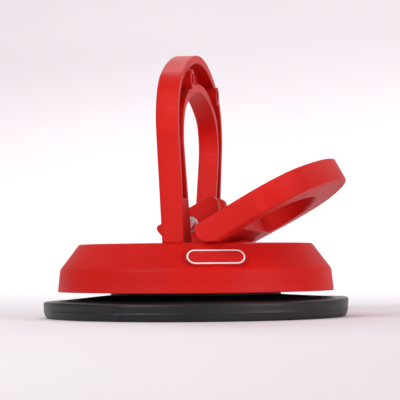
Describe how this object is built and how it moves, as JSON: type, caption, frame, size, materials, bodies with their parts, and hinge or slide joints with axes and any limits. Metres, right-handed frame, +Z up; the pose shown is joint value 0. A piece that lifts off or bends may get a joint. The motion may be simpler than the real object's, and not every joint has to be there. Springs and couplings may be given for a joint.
{
  "type": "locking suction cup",
  "caption": "Vacuum suction cup with a round rubber pad, a bevelled housing, a fixed upright loop handle and a squeeze lever that lifts the pad centre to grip.",
  "frame": {"origin": "centre of the pad's sealing face, on the surface the cup stands on", "axes": "+Z up through the pull stud; the lever folds out towards +X; its hinge runs along Y"},
  "size_m": [0.12, 0.12, 0.1019],
  "materials": {
    "pad_rubber": "matte, slightly greyed at the rim",
    "insert_steel": "plain",
    "stud_steel": "turned",
    "nut_steel": "zinc plated",
    "block_steel": "milled",
    "roll_pin_steel": "plain",
    "pin_steel": "polished",
    "clip_steel": "dark spring steel",
    "washer_nylon": "natural nylon",
    "housing_red": "moulded, soft gloss",
    "bush_brass": "turned",
    "plate_steel": "cold rolled",
    "plate_screw_steel": "zinc plated",
    "bumper_rubber": "matte",
    "ring_nylon": "moulded",
    "ring_screw_steel": "zinc plated",
    "badge_red": "blank, pale edge line",
    "upright_red": "moulded, soft gloss",
    "handle_screw_steel": "zinc plated",
    "flat_washer_steel": "zinc plated",
    "lever_red": "moulded, soft gloss",
    "sleeve_acetal": "natural acetal"
  },
  "bodies": {
    "cup": {"housing": "housing_red", "suction_pad": "pad_rubber", "guide_bush": "bush_brass", "wear_plate": "plate_steel", "plate_screws": "plate_screw_steel", "heel_bumpers": "bumper_rubber", "pressure_ring": "ring_nylon", "ring_screws": "ring_screw_steel", "badge": "badge_red", "upright_handle": "upright_red", "handle_screws": "handle_screw_steel", "screw_washers": "flat_washer_steel"},
    "stud": {"pull_stud": "stud_steel", "pad_insert": "insert_steel", "stud_nut": "nut_steel", "lift_block": "block_steel", "stud_roll_pin": "roll_pin_steel", "hinge_pin": "pin_steel", "pin_clip": "clip_steel", "pin_washers": "washer_nylon"},
    "lever": {"lever_handle": "lever_red", "lever_sleeves": "sleeve_acetal"}
  },
  "joints": [
    {"name": "stud_lift", "type": "slide", "parent": "cup", "child": "stud", "axis": [0, 0, 1], "range_m": [0, 0.0052], "deforming": ["suction_pad"]},
    {"name": "lever_hinge", "type": "hinge", "parent": "stud", "child": "lever", "pos_m": [0, 0, 0.036], "axis": [0, -1, 0], "range_deg": [0, 61]}
  ],
  "couplings": [
    {"joint": "stud_lift", "follows": "lever_hinge", "m_per_rad": 0.004884}
  ]
}
